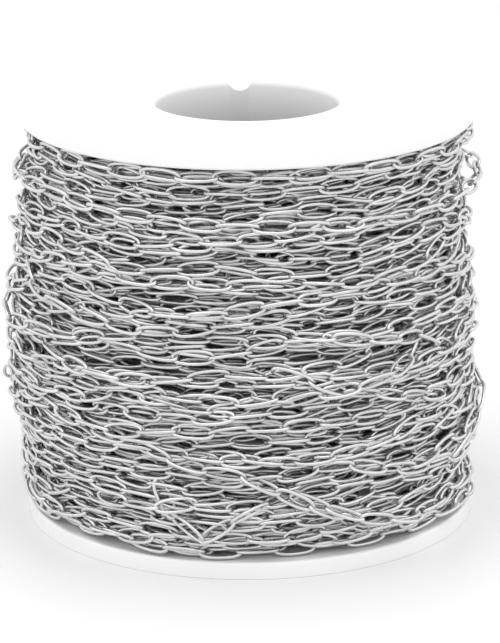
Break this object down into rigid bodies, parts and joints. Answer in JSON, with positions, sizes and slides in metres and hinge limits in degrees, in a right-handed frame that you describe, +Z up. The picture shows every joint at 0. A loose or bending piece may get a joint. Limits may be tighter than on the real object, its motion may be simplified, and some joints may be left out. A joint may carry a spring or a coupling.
{
  "type": "reel of link chain",
  "caption": "Flanged plastic spool wound full with fine oval steel link chain, its free end hanging in hinged links.",
  "frame": {"origin": "on the spool's axis, in the plane that the lower flange stands on", "axes": "+Z up along the spool's axis, +X towards the side where the free end hangs, -Y towards the viewer"},
  "size_m": [0.0689, 0.0688, 0.062],
  "materials": {
    "white_plastic": "smooth moulded white plastic with a soft sheen",
    "chain_steel": "bright drawn stainless wire",
    "buried_chain": "the same wire, in the shade of the layers above"
  },
  "bodies": {
    "spool": {"upper_flange": "white_plastic", "lower_flange": "white_plastic", "winding_drum": "white_plastic", "inner_windings": "buried_chain", "turn_01": "chain_steel", "turn_02": "chain_steel", "turn_03": "chain_steel", "turn_04": "chain_steel", "turn_05": "chain_steel", "turn_06": "chain_steel", "turn_07": "chain_steel", "turn_08": "chain_steel", "turn_09": "chain_steel", "turn_10": "chain_steel", "turn_11": "chain_steel", "turn_12": "chain_steel", "turn_13": "chain_steel", "turn_14": "chain_steel", "turn_15": "chain_steel", "turn_16": "chain_steel", "turn_17": "chain_steel", "turn_18": "chain_steel", "turn_19": "chain_steel", "turn_20": "chain_steel", "turn_21": "chain_steel", "turn_22": "chain_steel", "turn_23": "chain_steel", "turn_24": "chain_steel", "turn_25": "chain_steel", "turn_26": "chain_steel", "turn_27": "chain_steel", "turn_28": "chain_steel", "turn_29": "chain_steel", "turn_30": "chain_steel", "last_wound_link": "chain_steel"},
    "hanging_link_1": {"tail_link_1": "chain_steel"},
    "hanging_link_2": {"tail_link_2": "chain_steel"},
    "hanging_link_3": {"tail_link_3": "chain_steel"},
    "hanging_link_4": {"tail_link_4": "chain_steel"},
    "hanging_link_5": {"tail_link_5": "chain_steel"},
    "hanging_link_6": {"tail_link_6": "chain_steel"},
    "hanging_link_7": {"tail_link_7": "chain_steel"},
    "hanging_link_8": {"tail_link_8": "chain_steel"}
  },
  "joints": [
    {"name": "link_hinge_1", "type": "hinge", "parent": "spool", "child": "hanging_link_1", "pos_m": [0.03107, 0.01652, 0.05], "axis": [-0.8799, -0.4679, -0.0825], "range_deg": [-45, 45]},
    {"name": "link_hinge_2", "type": "hinge", "parent": "hanging_link_1", "child": "hanging_link_2", "pos_m": [0.03145, 0.01672, 0.04482], "axis": [0.4695, -0.8829, 0], "range_deg": [0, 60]},
    {"name": "link_hinge_3", "type": "hinge", "parent": "hanging_link_2", "child": "hanging_link_3", "pos_m": [0.03171, 0.01686, 0.03963], "axis": [-0.8825, -0.4693, -0.0302], "range_deg": [-45, 45]},
    {"name": "link_hinge_4", "type": "hinge", "parent": "hanging_link_3", "child": "hanging_link_4", "pos_m": [0.03185, 0.01693, 0.03443], "axis": [0.4695, -0.8829, 0], "range_deg": [0, 60]},
    {"name": "link_hinge_5", "type": "hinge", "parent": "hanging_link_4", "child": "hanging_link_5", "pos_m": [0.03187, 0.01695, 0.02923], "axis": [-0.8829, -0.4695, 0], "range_deg": [-45, 45]},
    {"name": "link_hinge_6", "type": "hinge", "parent": "hanging_link_5", "child": "hanging_link_6", "pos_m": [0.03187, 0.01695, 0.02403], "axis": [0.4695, -0.8829, 0], "range_deg": [0, 60]},
    {"name": "link_hinge_7", "type": "hinge", "parent": "hanging_link_6", "child": "hanging_link_7", "pos_m": [0.03187, 0.01695, 0.01883], "axis": [-0.8829, -0.4695, 0], "range_deg": [-45, 45]},
    {"name": "link_hinge_8", "type": "hinge", "parent": "hanging_link_7", "child": "hanging_link_8", "pos_m": [0.03187, 0.01695, 0.01363], "axis": [0.4695, -0.8829, 0], "range_deg": [0, 60]}
  ]
}
